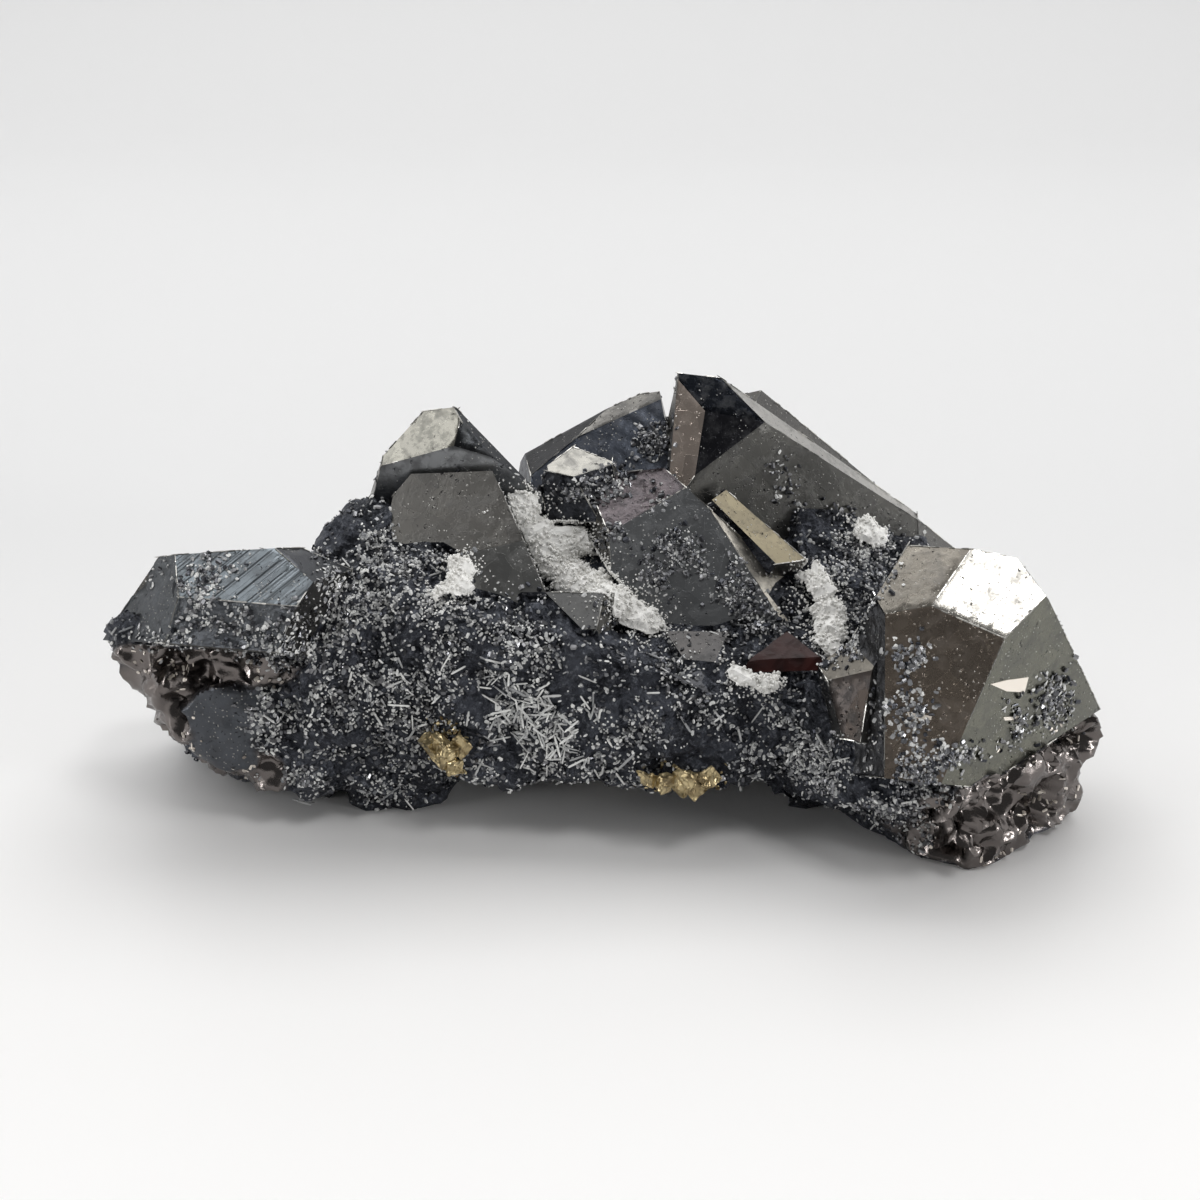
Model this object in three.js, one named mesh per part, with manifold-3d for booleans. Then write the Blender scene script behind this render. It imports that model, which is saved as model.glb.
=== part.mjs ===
// A tetrahedrite specimen: steel-grey crystals grown together on a rough matrix, with white quartz crust in
// the grooves between them, brassy pyrite on the lower edge and one red sphalerite crystal at the foot of the
// middle one.
// Millimetres, +Z up, +X along the length. The front, where most of the crystal faces are, looks along -Y.
import * as THREE from "three";
import { ConvexGeometry } from "three/addons/geometries/ConvexGeometry.js";
import { ImprovedNoise } from "three/addons/math/ImprovedNoise.js";
import { mergeVertices } from "three/addons/utils/BufferGeometryUtils.js";
import Module from "manifold-3d";

const wasm = await Module();
wasm.setup();

// Driving dimensions
const mineralGap = 0.3; // between a crust or grain and the crystals it sits among
const crustBump = 0.35; // height of the lumps on the quartz crust
const crustGrain = 0.9; // width of those lumps
const crustDetail = 1; // how finely a lump of crust is faceted
const crustFlatness = 0.5; // height of a lump against its width
const view = { pitch: 25, distance: 100, focal: 1540, middle: 600, aimHeight: 12 }; // degrees, mm, px, px, mm

// A point of the specimen: where it shows in the reference view, in pixels, and its place from front to back
// in mm. The view looks down by view.pitch from view.distance, which sets the specimen's length of 64 mm.
function seen(u, v, depth) {
  const pitch = THREE.MathUtils.degToRad(view.pitch);
  const forward = new THREE.Vector3(0, Math.cos(pitch), -Math.sin(pitch));
  const up = new THREE.Vector3(0, Math.sin(pitch), Math.cos(pitch));
  const eye = new THREE.Vector3(0, 0, view.aimHeight).addScaledVector(forward, -view.distance);
  const ray = forward.clone().addScaledVector(up, (view.middle - v) / view.focal);
  ray.x += (u - view.middle) / view.focal;
  return eye.addScaledVector(ray, (depth - eye.y) / ray.y);
}

// A point of the hidden sides, straight in mm.
const at = (x, y, z) => new THREE.Vector3(x, y, z);

// The direction a face looks in: azimuth 0 is to the front and 90 to the right, elevation is above the
// horizon.
function facing(azimuth, elevation) {
  const a = THREE.MathUtils.degToRad(azimuth);
  const e = THREE.MathUtils.degToRad(elevation);
  return new THREE.Vector3(Math.sin(a) * Math.cos(e), -Math.cos(a) * Math.cos(e), Math.sin(e));
}

// The face planes of a crystal or a block, all pointing out. A face in faces passes through three named
// corners, and one in away passes through one corner and looks in the direction given.
function planesOf({ corners, faces = [], away = [] }) {
  const points = Object.values(corners);
  const heart = points.reduce((sum, p) => sum.add(p), new THREE.Vector3()).divideScalar(points.length);
  const planes = faces.map((names) => {
    const through = names.split(" ").map((name) => corners[name]);
    const plane = new THREE.Plane().setFromCoplanarPoints(...through);
    return plane.distanceToPoint(heart) > 0 ? plane.negate() : plane;
  });
  for (const [name, azimuth, elevation] of away)
    planes.push(new THREE.Plane().setFromNormalAndCoplanarPoint(facing(azimuth, elevation), corners[name]));
  return { planes, heart };
}

// The corner where three planes meet, or null where they are nearly parallel.
function meetingPoint(a, b, c) {
  const bc = new THREE.Vector3().crossVectors(b.normal, c.normal);
  const spread = a.normal.dot(bc);
  if (Math.abs(spread) < 1e-4) return null;
  return bc
    .multiplyScalar(-a.constant)
    .addScaledVector(new THREE.Vector3().crossVectors(c.normal, a.normal), -b.constant)
    .addScaledVector(new THREE.Vector3().crossVectors(a.normal, b.normal), -c.constant)
    .divideScalar(spread);
}

function manifoldOf(geometry) {
  geometry.deleteAttribute("normal");
  geometry.deleteAttribute("uv");
  const merged = mergeVertices(geometry, 1e-4);
  return new wasm.Manifold(
    new wasm.Mesh({
      numProp: 3,
      vertProperties: merged.attributes.position.array,
      triVerts: new Uint32Array(merged.index.array),
    }),
  );
}

// A crystal: the convex solid inside its planes, each moved out by grow.
function crystalSolid(shape, grow) {
  const planes = planesOf(shape).planes.map((p) => new THREE.Plane(p.normal, p.constant - grow));
  const found = new Map();
  planes.forEach((a, i) =>
    planes.slice(i + 1).forEach((b, j) =>
      planes.slice(i + j + 2).forEach((c) => {
        const p = meetingPoint(a, b, c);
        if (p && planes.every((q) => q.distanceToPoint(p) < 1e-5))
          found.set([p.x, p.y, p.z].map((n) => n.toFixed(3)).join(), p);
      }),
    ),
  );
  return manifoldOf(new ConvexGeometry([...found.values()]));
}

// A lumpy surface: noise of the given grain, in mm, moves each point out from or in to the heart by up to
// bump.
function roughened(geometry, heart, bump, grain) {
  const noise = new ImprovedNoise();
  const position = geometry.attributes.position;
  const point = new THREE.Vector3();
  for (let i = 0; i < position.count; i++) {
    point.fromBufferAttribute(position, i);
    const q = point.clone().divideScalar(grain);
    const lump = noise.noise(q.x, q.y, q.z) + 0.5 * noise.noise(2 * q.x, 2 * q.y, 2 * q.z);
    point.addScaledVector(point.clone().sub(heart).normalize(), bump * lump);
    position.setXYZ(i, point.x, point.y, point.z);
  }
  return manifoldOf(geometry);
}

// A rough block: the same kind of solid with rounded edges and a lumpy surface. Each direction from the
// heart reaches to a soft minimum of its planes.
function blockSolid(shape, grow) {
  const { planes, heart } = planesOf(shape);
  const { bump = 0.7, grain = 3.2, detail = 6, sharpness = 9 } = shape;
  const geometry = new THREE.IcosahedronGeometry(1, detail);
  const position = geometry.attributes.position;
  const way = new THREE.Vector3();
  for (let i = 0; i < position.count; i++) {
    way.fromBufferAttribute(position, i).normalize();
    let sum = 0;
    for (const plane of planes) {
      const reach = grow - plane.distanceToPoint(heart);
      sum += Math.max(0, plane.normal.dot(way) / reach) ** sharpness;
    }
    way.multiplyScalar(sum ** (-1 / sharpness)).add(heart);
    position.setXYZ(i, way.x, way.y, way.z);
  }
  return roughened(geometry, heart, bump, grain);
}

// A crust: flat lumps side by side in a groove, each [pixel u, pixel v, depth, radius]. They lie facing up
// and to the front.
function crustSolid(lumps) {
  const lie = new THREE.Quaternion().setFromUnitVectors(new THREE.Vector3(0, 0, 1), facing(0, 50));
  const solids = lumps.map(([u, v, depth, radius]) => {
    const heart = seen(u, v, depth);
    const geometry = new THREE.IcosahedronGeometry(radius, crustDetail).scale(1, 1, crustFlatness);
    geometry.applyQuaternion(lie).translate(heart.x, heart.y, heart.z);
    return roughened(geometry, heart, crustBump, crustGrain);
  });
  return joined(solids);
}

// Intergrown cubes around a point, each [offset x, y, z, side, turn in degrees].
function cubesSolid(heart, cubes) {
  const solids = cubes.map(([x, y, z, side, turn]) => {
    const geometry = new THREE.BoxGeometry(side, side, side);
    geometry.rotateX(THREE.MathUtils.degToRad(turn)).rotateZ(THREE.MathUtils.degToRad(2 * turn));
    geometry.translate(heart.x + x, heart.y + y, heart.z + z);
    return manifoldOf(geometry);
  });
  return joined(solids);
}

const joined = (solids) => solids.reduce((all, next) => all.add(next));
const largest = (solid) => solid.decompose().sort((a, b) => b.volume() - a.volume())[0];

// The crystals, from left to right and then the back. Corners are named after what they are on their crystal.
const crystals = {
  leftArm: {
    corners: {
      peak: seen(275, 548, -7),
      rightTip: seen(313, 582, -9),
      heel: seen(285, 606, -10),
      leftTip: seen(194, 598, -9),
      back: seen(320, 556, -5.5),
      shin: seen(225, 648, -10.6),
      nose: seen(128, 574, -4),
      noseLow: seen(160, 600, -7.6),
    },
    faces: ["peak rightTip leftTip", "peak rightTip back", "leftTip heel shin"],
    away: [
      ["peak", -172, 64], ["nose", -70, 30], ["noseLow", -52, 28], ["rightTip", 62, -12], ["shin", -10, -60],
      ["back", 180, 5],
    ],
  },
  leftPeak: {
    corners: {
      summit: seen(432, 410, 2.5),
      ridge: seen(467, 418, 2.2),
      shoulder: seen(469, 429, 1.2),
      edge: seen(387, 451, 1.2),
      corner: seen(381, 466, 0.6),
      cheek: seen(454, 446, 0.3),
      skirt: seen(374, 498, 0.8),
      saddle: seen(520, 457, 0.6),
      root: at(-12, 4, 13),
    },
    faces: ["summit corner cheek", "corner cheek skirt", "shoulder cheek saddle"],
    away: [
      ["summit", 178, 38], ["edge", -112, 36], ["corner", -84, 16], ["ridge", 74, 48], ["root", 0, -80],
      ["saddle", 150, 10],
    ],
  },
  leftBody: {
    corners: {
      brow: seen(411, 474, 0.2),
      crest: seen(492, 470, -0.2),
      hip: seen(516, 541, -3.9),
      keel: seen(425, 532, -2.8),
      ankle: seen(542, 585, -5),
      flank: seen(383, 530, -2.6),
      behind: seen(498, 505, 8),
      base: at(-9, 5, 11),
      side: at(-14, 2, 14),
    },
    faces: ["brow crest keel", "crest ankle behind"],
    away: [
      ["hip", -4, 32], ["brow", 180, 50], ["brow", -100, 40], ["flank", -70, 22], ["base", 0, -80],
      ["base", 178, 0], ["side", -88, 10],
    ],
  },
  midPeak: {
    corners: {
      tip: seen(645, 394, 6.5),
      shoulder: seen(606, 409, 5.8),
      notch: seen(661, 395, 6.8),
      brow: seen(650, 404, 5.6),
      leftFoot: seen(527, 461, 4.6),
      waist: seen(577, 437, 4.2),
      rightFoot: seen(640, 466, 2.8),
      base: at(0, 6, 13),
    },
    faces: ["shoulder brow waist", "shoulder waist leftFoot", "brow waist rightFoot"],
    away: [
      ["tip", -170, 50], ["shoulder", -140, 48], ["notch", 88, 14], ["leftFoot", -80, 10], ["base", 0, -80],
      ["tip", 180, 4],
    ],
  },
  midStep: {
    corners: {
      back: seen(573, 447, 2.6),
      left: seen(548, 471, 0.6),
      front: seen(577, 482, -0.1),
      right: seen(612, 464, 1),
      chin: seen(600, 522, -1.2),
    },
    faces: ["back left right", "left front chin", "front right chin"],
    away: [["left", -80, 10], ["right", 78, 20], ["back", -128, 25], ["back", 147, 25], ["chin", 0, -70]],
  },
  center: {
    corners: {
      apex: seen(693, 483, -0.8),
      crown: seen(664, 468, 0.6),
      leftFoot: seen(557, 564, -4),
      rightFoot: seen(789, 632, -4.8),
      cheek: seen(602, 522, -1.8),
      side: seen(800, 590, -1.6),
      sill: seen(668, 634, -5.6),
      base: at(6, 6, 9),
    },
    faces: ["apex leftFoot rightFoot", "apex crown leftFoot", "apex rightFoot side"],
    away: [
      ["crown", 180, 40], ["cheek", -64, 10], ["side", 80, 16], ["sill", 0, -70], ["sill", -82, -43],
      ["crown", 110, 45], ["base", 180, 0], ["base", 0, -80],
    ],
  },
  goldFace: {
    corners: {
      top: seen(726, 490, 0.4),
      left: seen(712, 500, -0.6),
      low: seen(777, 564, -3),
      right: seen(807, 559, -2),
      base: at(9, 0.5, 14),
    },
    faces: ["top left low"],
    away: [["left", -41, -13], ["top", 143, 16], ["left", -125, 35], ["low", 24, -35], ["base", -148, -51]],
  },
  topBlock: {
    corners: {
      crownLeft: seen(681, 383, 3.2),
      crown: seen(692, 378, 3.5),
      crownRight: seen(721, 378, 3.8),
      brow: seen(705, 411, 2.4),
      ridge: seen(765, 422, 2.6),
      ridgeEnd: seen(918, 520, 4.4),
      jaw: seen(687, 457, 1.4),
      heel: seen(728, 487, 0.9),
      hip: seen(742, 466, 1.8),
      leftBack: seen(672, 399, 5),
      base: at(10, 4, 11),
    },
    faces: [
      "crown brow ridge", "brow ridge heel", "crownLeft brow jaw", "ridge ridgeEnd hip",
      "crownRight ridge ridgeEnd",
    ],
    away: [
      ["crownRight", 180, 32], ["crownRight", 150, 38.7], ["leftBack", -88, 6], ["base", 0, -85],
      ["ridgeEnd", 85, 5],
    ],
  },
  backRidge: {
    corners: {
      tip: seen(757, 397, 8),
      top: seen(772, 399, 8.4),
      tail: seen(940, 527, 6),
      root: at(16, 5, 8),
      back: at(16, 10.5, 10),
    },
    away: [
      ["top", 35, 30], ["tip", -70, 45], ["tail", 85, 35], ["top", 150, 35], ["back", 178, 4],
      ["root", 0, -75], ["root", -60, -20],
    ],
  },
  rightCrystal: {
    corners: {
      nape: seen(938, 529, -8.1),
      crownBack: seen(972, 547, -9.7),
      crownFar: seen(1013, 558, -10),
      crownRight: seen(1046, 596, -11.7),
      chin: seen(1005, 638, -13.7),
      brow: seen(931, 606, -12.5),
      cheek: seen(880, 605, -11.7),
      temple: seen(914, 535, -8.1),
      jaw: seen(880, 590, -10.9),
      behindJaw: seen(903, 560, -2),
      foot: seen(970, 718, -15),
      hem: seen(950, 785, -16.1),
      flankTop: seen(1066, 647, -7.3),
      haunch: seen(1088, 698, -3.1),
      base: at(14, -1, 4),
    },
    faces: [
      "crownBack crownRight brow", "crownBack brow cheek", "brow chin foot", "chin foot crownRight",
      "temple jaw behindJaw",
    ],
    away: [
      ["nape", 180, 50], ["crownFar", 165, 42], ["crownRight", 92, 40], ["flankTop", 96, 32],
      ["haunch", 100, 10],
      ["cheek", -66, 8], ["hem", -12, -60], ["haunch", 50, -58], ["base", 178, 0],
      ["base", 0, -85], ["base", -90, 0],
    ],
  },
  frontFacet: {
    corners: {
      left: seen(665, 631, -6.4),
      right: seen(727, 635, -6.8),
      waistLeft: seen(672, 658, -8.6),
      waistRight: seen(709, 658, -8.8),
      low: seen(697, 690, -9.8),
      base: at(5, -4, 9),
    },
    faces: ["left right waistLeft", "waistLeft waistRight low"],
    away: [["left", -62, 10], ["right", 64, 15], ["left", 178, 40], ["base", 0, -85], ["base", 180, 0]],
  },
  shelfFacet: {
    corners: {
      back: seen(545, 592, -6),
      right: seen(600, 606, -7),
      front: seen(583, 630, -8.2),
      left: seen(530, 620, -7.6),
      base: at(-3, -5, 13),
    },
    faces: ["back right front", "back left front"],
    away: [["left", -62, 14], ["right", 66, 16], ["front", 4, 0], ["back", 178, 40], ["base", 0, -85]],
  },
  rightLath: {
    corners: {
      top: seen(872, 670, -12.6),
      left: seen(834, 706, -12.2),
      low: seen(850, 740, -13.6),
      base: at(15, -10, 8),
    },
    faces: ["top left low"],
    away: [["top", 40, 10], ["top", -60, 45], ["low", -20, -60], ["base", 180, 0], ["left", -75, -5]],
  },
  backPeak: {
    corners: {
      apex: at(-4, 8, 19),
      back: at(-4, 13, 11),
      left: at(-11, 9, 12),
      right: at(4, 10, 12),
      base: at(-4, 3, 8),
    },
    away: [
      ["apex", 165, 30], ["apex", -115, 45], ["apex", 80, 42], ["apex", 0, 35], ["back", 178, 0],
      ["left", -90, 5], ["right", 88, 5], ["base", 0, -80],
    ],
  },
  backStep: {
    corners: {
      top: at(12, 9, 15),
      right: at(19, 9, 12),
      back: at(13, 13, 10),
      left: at(6.5, 9, 11),
      base: at(12, 5, 7),
    },
    away: [
      ["top", 172, 60], ["top", 20, 62], ["back", 165, 10], ["right", 82, 30], ["left", -100, 20],
      ["base", 0, -80], ["base", 0, 0],
    ],
  },
  backLeft: {
    corners: {
      top: at(-18, 7, 11),
      left: at(-24.5, 6, 8),
      back: at(-18, 11.5, 8),
      right: at(-12, 8, 8),
      base: at(-18, 3, 5),
    },
    away: [
      ["top", -160, 55], ["top", 60, 55], ["left", -95, 20], ["back", 178, 5], ["right", 90, 10],
      ["base", 0, -80], ["base", 0, 10],
    ],
  },
};

// The rough matrix that the crystals stand on, from left to right and then the back.
const blocks = {
  leftEnd: {
    corners: {
      nose: seen(112, 612, -2.5),
      noseTop: seen(150, 566, -4),
      chin: seen(138, 688, -3.6),
      toe: seen(244, 782, -5),
      foot: seen(345, 805, -6),
      front: seen(330, 700, -8.4),
      top: seen(300, 600, -6),
      back: at(-22, 5, 8),
    },
    away: [
      ["nose", -82, 4], ["chin", -58, -28], ["toe", -30, -52], ["front", -4, 8], ["foot", 0, -80],
      ["front", 72, -4], ["noseTop", -20, 66], ["top", -175, 60], ["back", -165, 5],
    ],
    bump: 0.5,
    detail: 5,
    sharpness: 11,
  },
  leftFoot: {
    corners: {
      top: seen(370, 676, -8),
      front: seen(390, 720, -8.6),
      right: seen(432, 740, -8),
      sole: at(-12.6, -6, -0.5),
      left: seen(336, 760, -6.5),
      back: at(-14, 0, 6),
    },
    away: [
      ["top", -10, 62], ["front", 4, -14], ["right", 75, 0], ["sole", 0, -88], ["left", -75, -6],
      ["back", 180, 0],
    ],
    bump: 0.5,
    detail: 4,
  },
  leftSlope: {
    corners: {
      top: seen(374, 490, -0.4),
      left: seen(318, 550, -3.4),
      front: seen(360, 600, -7),
      frontRight: seen(392, 545, -3.4),
      back: at(-16, 6, 12),
      base: at(-16, -2, 5),
      low: seen(380, 640, -8),
      side: at(-19.5, 0, 8),
    },
    faces: ["top left front"],
    away: [
      ["left", -90, 40], ["back", 180, 30], ["base", 0, -85], ["frontRight", 72, 14], ["low", 5, 8],
      ["top", 150, 50], ["side", -88, 10],
    ],
    bump: 0.5,
    detail: 4,
  },
  smallFront: {
    corners: {
      top: seen(424, 540, -3.6),
      left: seen(378, 580, -6.4),
      right: seen(470, 566, -4.8),
      low: seen(425, 618, -8.6),
      back: at(-10, 0, 12),
      base: at(-10, -3, 6),
    },
    faces: ["top left low"],
    away: [
      ["right", 62, 25], ["left", -60, 15], ["low", 0, 0], ["back", 180, 10], ["base", 0, -85],
      ["top", 180, 60],
    ],
    bump: 0.4,
    detail: 4,
  },
  frontWall: {
    corners: {
      lipLeft: seen(436, 620, -10.2),
      lip: seen(620, 660, -10.2),
      shelf: seen(520, 606, -6.4),
      front: seen(540, 700, -9.8),
      low: seen(540, 783, -8),
      left: seen(428, 740, -8.2),
      right: seen(760, 725, -10),
      back: at(-2, 2, 8),
    },
    faces: ["lipLeft lip shelf"],
    away: [["front", -7, 6], ["low", 0, -72], ["left", -62, 0], ["right", 45, 20], ["back", 180, 0]],
    detail: 6,
    sharpness: 7,
  },
  midSlope: {
    corners: {
      top: seen(660, 634, -6),
      right: seen(800, 645, -6.2),
      ledge: seen(700, 690, -10.4),
      ledgeRight: seen(824, 700, -10.6),
      front: seen(760, 735, -10.2),
      low: seen(740, 772, -9),
      farLeft: seen(590, 720, -7),
      back: at(8, 0, 7),
    },
    faces: ["top right ledge"],
    away: [["front", 11, 8], ["low", 4, -60], ["farLeft", -60, 5], ["ledgeRight", 70, 0], ["back", 180, 0]],
    detail: 5,
  },
  rightSlope: {
    corners: {
      top: seen(850, 694, -11.6),
      front: seen(900, 770, -13.8),
      low: seen(850, 806, -11.2),
      left: seen(790, 745, -10.4),
      right: at(20.5, -12, 5),
      back: at(16, -7, 6),
    },
    away: [
      ["front", -24, 16], ["low", -14, -52], ["left", -64, -4], ["top", -30, 60], ["right", 80, 0],
      ["back", 180, 20],
    ],
    detail: 4,
    sharpness: 6,
  },
  rightFoot: {
    corners: {
      topLeft: seen(985, 748, -14.6),
      topRight: seen(1080, 708, -6),
      low: seen(1066, 862, -11.4),
      side: seen(1089, 775, -7),
      sole: at(23.4, -12, -0.5),
      left: seen(935, 835, -13.4),
      back: at(22, -3, 6),
      inner: at(15, -8, 4),
    },
    away: [
      ["topLeft", 38, -4], ["side", 78, -10], ["sole", 0, -88], ["left", -40, -24], ["back", 172, -10],
      ["topRight", 40, 70], ["low", 62, -34], ["inner", -85, 0],
    ],
    detail: 6,
  },
  rightValley: {
    corners: {
      top: seen(905, 522, 2.6),
      left: seen(800, 540, -0.2),
      low: seen(815, 640, -5),
      right: seen(880, 600, -7),
      back: at(16, 6, 10),
      base: at(15, -2, 5),
      far: at(23, 0, 10),
    },
    faces: ["top left low"],
    away: [
      ["low", 0, 0], ["back", 180, 20], ["base", 0, -85], ["left", -80, 0], ["far", 70, 20], ["top", 140, 60],
    ],
    detail: 4,
    bump: 0.5,
  },
  core: {
    corners: {
      left: at(-18, 2, 9),
      right: at(22, 0, 9),
      top: at(0, 4, 15),
      bottom: at(0, 2, 1.8),
      back: at(0, 11, 9),
      front: at(0, -5, 9),
    },
    away: [
      ["left", -86, 40], ["left", -86, -5], ["right", 86, 35], ["right", 86, -5], ["top", 0, 86],
      ["bottom", 0, -86], ["back", 178, 8], ["front", 0, 10],
    ],
    detail: 4,
    bump: 1,
  },
  backFootLeft: {
    corners: {
      top: at(-17, 8, 9.5),
      sole: at(-17, 7, -0.6),
      left: at(-25, 7, 4),
      right: at(-9, 7, 4),
      back: at(-17, 13, 4.5),
      front: at(-17, 3, 3),
    },
    away: [
      ["top", 175, 70], ["sole", 0, -88], ["left", -85, -10], ["right", 85, -20], ["back", 178, -12],
      ["front", 0, -20],
    ],
    detail: 3,
  },
  backWall: {
    corners: {
      top: at(-1, 9, 12),
      sole: at(-1, 8, 2.6),
      left: at(-13, 8, 7),
      right: at(9, 8, 7),
      back: at(-1, 14, 6.5),
      front: at(-1, 3, 6),
    },
    away: [
      ["top", 178, 60], ["sole", 0, -85], ["left", -85, 5], ["right", 85, 5], ["back", 180, -8],
      ["front", 0, -10],
    ],
    detail: 3,
  },
  backFootRight: {
    corners: {
      top: at(14, 8, 9.5),
      sole: at(14, 7, -0.6),
      left: at(5, 7, 4),
      right: at(25, 5, 5),
      back: at(14, 13.6, 4.5),
      front: at(14, 3, 3),
    },
    away: [
      ["top", 170, 70], ["sole", 0, -88], ["left", -85, -20], ["right", 105, -10], ["back", 178, -12],
      ["front", 0, -20],
    ],
    detail: 3,
  },
};

// The white quartz crust in the grooves.
const crusts = {
  quartz_middle_groove: [
    [505, 484, 0.1, 1.1], [518, 504, 0.1, 1.4], [536, 523, 0, 1.8], [556, 543, -0.8, 1.9],
    [582, 535, -0.5, 1.5], [558, 563, -1.8, 1.4], [574, 581, -3, 1.3], [592, 590, -4.1, 1.4],
    [608, 602, -5.5, 1.3], [626, 615, -5.4, 1.3], [646, 627, -5.9, 1.2],
  ],
  quartz_left_pocket: [[460, 572, -5.5, 1.1], [458, 588, -6.5, 1.1], [446, 601, -7.4, 1.1]],
  quartz_right_seam: [
    [808, 576, -1.7, 1], [819, 591, -2.8, 1.1], [827, 610, -3.7, 1.1], [829, 630, -4.9, 1.1],
    [826, 650, -6.3, 1],
  ],
  quartz_right_notch: [[864, 530, 1.3, 0.9], [876, 535, 1.3, 0.9]],
  quartz_ledge: [[741, 677, -9.6, 0.9], [754, 679, -9.4, 0.8], [766, 681, -9.5, 0.8]],
};

// The brassy cubes on the lower edge, around one point each.
const pyrites = {
  pyrite_left: {
    heart: seen(448, 748, -9.2),
    cubes: [
      [0, 0, 0, 1.7, 20], [0.9, -0.2, 0.5, 1.2, 40], [-0.9, 0.1, 0.3, 1.1, 65], [0.3, -0.3, -0.9, 1, 10],
    ],
  },
  pyrite_right: {
    heart: seen(686, 776, -11),
    cubes: [
      [0, 0, 0, 1.6, 30], [1.2, -0.1, 0.2, 1.2, 55], [-1.2, 0, -0.1, 1.3, 15], [-2.2, 0.1, 0.1, 1.1, 70],
      [0.5, -0.4, -0.5, 1, 48],
    ],
  },
};

// The red crystal at the lower right foot of the middle one.
const sphaleriteShape = {
  corners: {
    top: seen(787, 631, -6.5),
    right: seen(820, 657, -8.4),
    left: seen(749, 660, -8.8),
    low: seen(800, 671, -8.9),
    base: at(12, -6, 9.5),
  },
  faces: ["top right left", "left right low", "top left base", "top right base"],
  away: [["low", 0, -80], ["low", 5, -20]],
};

const floorCut = new THREE.BoxGeometry(100, 100, 100).translate(0, 0, -50);
const shapes = { ...crystals, ...blocks };
const solidOf = (name, grow) => (name in blocks ? blockSolid : crystalSolid)(shapes[name], grow);
const grown = joined(Object.keys(shapes).map((name) => solidOf(name, 0)));
const cluster = largest(grown.subtract(manifoldOf(floorCut)));
const room = joined(Object.keys(shapes).map((name) => solidOf(name, mineralGap)));
const sphalerite = largest(crystalSolid(sphaleriteShape, 0).subtract(room));
const roomForCrust = room.add(crystalSolid(sphaleriteShape, mineralGap));

function meshOf(name, solid, material) {
  const { vertProperties, triVerts } = solid.getMesh();
  const geometry = new THREE.BufferGeometry();
  geometry.setAttribute("position", new THREE.BufferAttribute(vertProperties, 3));
  geometry.setIndex(new THREE.BufferAttribute(triVerts, 1));
  const mesh = new THREE.Mesh(geometry, material);
  mesh.name = name;
  return mesh;
}

const specimen = new THREE.Group();
const steelGrey = new THREE.MeshStandardMaterial({ color: 0x3c3d40, metalness: 1 });
specimen.add(meshOf("tetrahedrite", cluster, steelGrey));
for (const [name, lumps] of Object.entries(crusts)) {
  const solid = largest(crustSolid(lumps).subtract(roomForCrust));
  specimen.add(meshOf(name, solid, new THREE.MeshStandardMaterial({ color: 0xe4e2dc })));
}
for (const [name, { heart, cubes }] of Object.entries(pyrites)) {
  const solid = largest(cubesSolid(heart, cubes).subtract(room));
  specimen.add(meshOf(name, solid, new THREE.MeshStandardMaterial({ color: 0xb89a5c, metalness: 1 })));
}
specimen.add(meshOf("sphalerite", sphalerite, new THREE.MeshStandardMaterial({ color: 0x46231e })));

// The origin is under the middle of the bounding box, on the floor.
const box = new THREE.Box3().setFromObject(specimen);
const middle = box.getCenter(new THREE.Vector3());
specimen.position.set(-middle.x, -middle.y, -box.min.z);
export default specimen;
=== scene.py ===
import math
import bpy
import numpy as np
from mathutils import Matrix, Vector
from mathutils.bvhtree import BVHTree


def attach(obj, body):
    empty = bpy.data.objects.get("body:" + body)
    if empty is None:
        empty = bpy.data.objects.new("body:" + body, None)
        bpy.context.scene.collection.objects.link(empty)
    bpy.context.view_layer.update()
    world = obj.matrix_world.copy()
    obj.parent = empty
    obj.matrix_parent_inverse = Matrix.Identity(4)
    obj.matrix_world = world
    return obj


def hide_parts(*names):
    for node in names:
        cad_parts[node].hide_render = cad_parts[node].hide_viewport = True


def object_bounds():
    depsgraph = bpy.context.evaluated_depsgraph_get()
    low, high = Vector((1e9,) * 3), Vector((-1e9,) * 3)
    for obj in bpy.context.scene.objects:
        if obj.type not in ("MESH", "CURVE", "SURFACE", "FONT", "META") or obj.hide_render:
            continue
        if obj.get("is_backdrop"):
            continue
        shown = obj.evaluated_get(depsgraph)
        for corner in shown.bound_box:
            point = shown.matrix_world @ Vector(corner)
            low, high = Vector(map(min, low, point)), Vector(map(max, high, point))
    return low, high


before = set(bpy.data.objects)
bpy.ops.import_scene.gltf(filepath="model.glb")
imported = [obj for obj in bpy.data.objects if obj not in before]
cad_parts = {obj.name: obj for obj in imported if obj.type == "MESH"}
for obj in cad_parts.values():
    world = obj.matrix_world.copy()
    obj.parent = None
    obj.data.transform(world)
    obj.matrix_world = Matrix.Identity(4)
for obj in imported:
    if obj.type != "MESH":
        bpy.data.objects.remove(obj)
cadLow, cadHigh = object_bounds()
rng = np.random.default_rng(11)
mm = 0.001

# The camera stands as in the reference view: 1200 px square, looking down on a point above the origin.
shot = dict(
    pitch=25.0,
    distance=100 * mm,
    focal=1540.0,
    middle=600.0,
    aim=(0.027 * mm, 0.094 * mm, 12 * mm),
    sensor=36.0,
)
pitch = math.radians(shot["pitch"])
forward = np.array([0, math.cos(pitch), -math.sin(pitch)])
upward = np.array([0, math.sin(pitch), math.cos(pitch)])
eye = np.array(shot["aim"]) - shot["distance"] * forward


def sightLine(u, v):  # the direction in which a pixel of the reference view looks
    side = np.array([1.0, 0, 0]) * (u - shot["middle"]) / shot["focal"]
    return Vector(forward + side - upward * (v - shot["middle"]) / shot["focal"]).normalized()


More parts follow.
